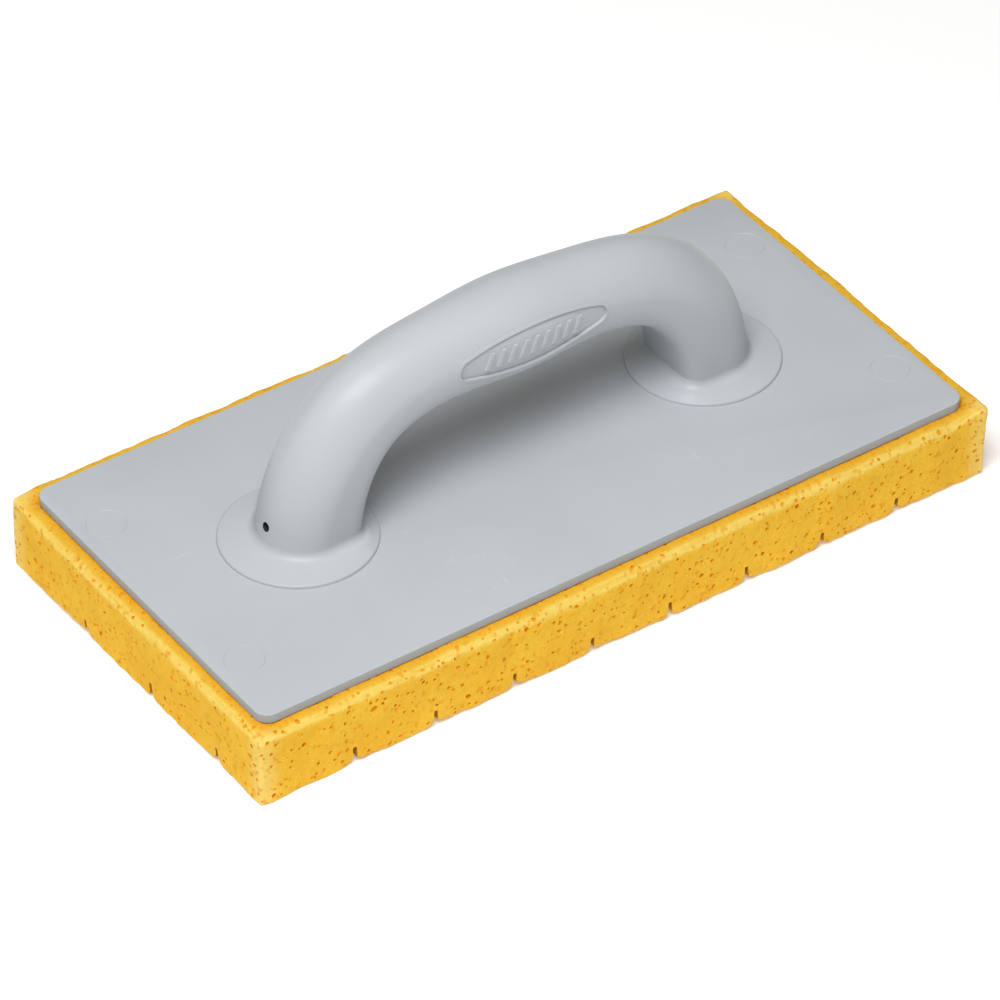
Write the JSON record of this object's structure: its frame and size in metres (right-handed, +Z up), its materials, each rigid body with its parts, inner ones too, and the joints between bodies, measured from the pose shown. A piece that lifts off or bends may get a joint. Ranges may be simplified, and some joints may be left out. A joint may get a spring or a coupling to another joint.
{
  "type": "grout float",
  "caption": "Sponge grout float: scored yellow sponge block glued under a rigid grey plate, with a hollow bow handle on two round flanged feet.",
  "frame": {"origin": "middle of the sponge's working face, at the bottom centre of the whole float", "axes": "+X along the float's length, +Y across it, +Z up out of the plate towards the handle"},
  "size_m": [0.28, 0.14, 0.0958],
  "materials": {
    "sponge": "open-pored sponge foam",
    "adhesive": "flexible glue line",
    "plate_plastic": "satin moulded plastic",
    "handle_plastic": "semi-gloss moulded plastic",
    "screw_steel": "zinc plated"
  },
  "bodies": {
    "root": {"sponge_pad": "sponge", "adhesive_film": "adhesive", "base_plate": "plate_plastic", "handle": "handle_plastic", "handle_screws": "screw_steel"}
  },
  "joints": []
}
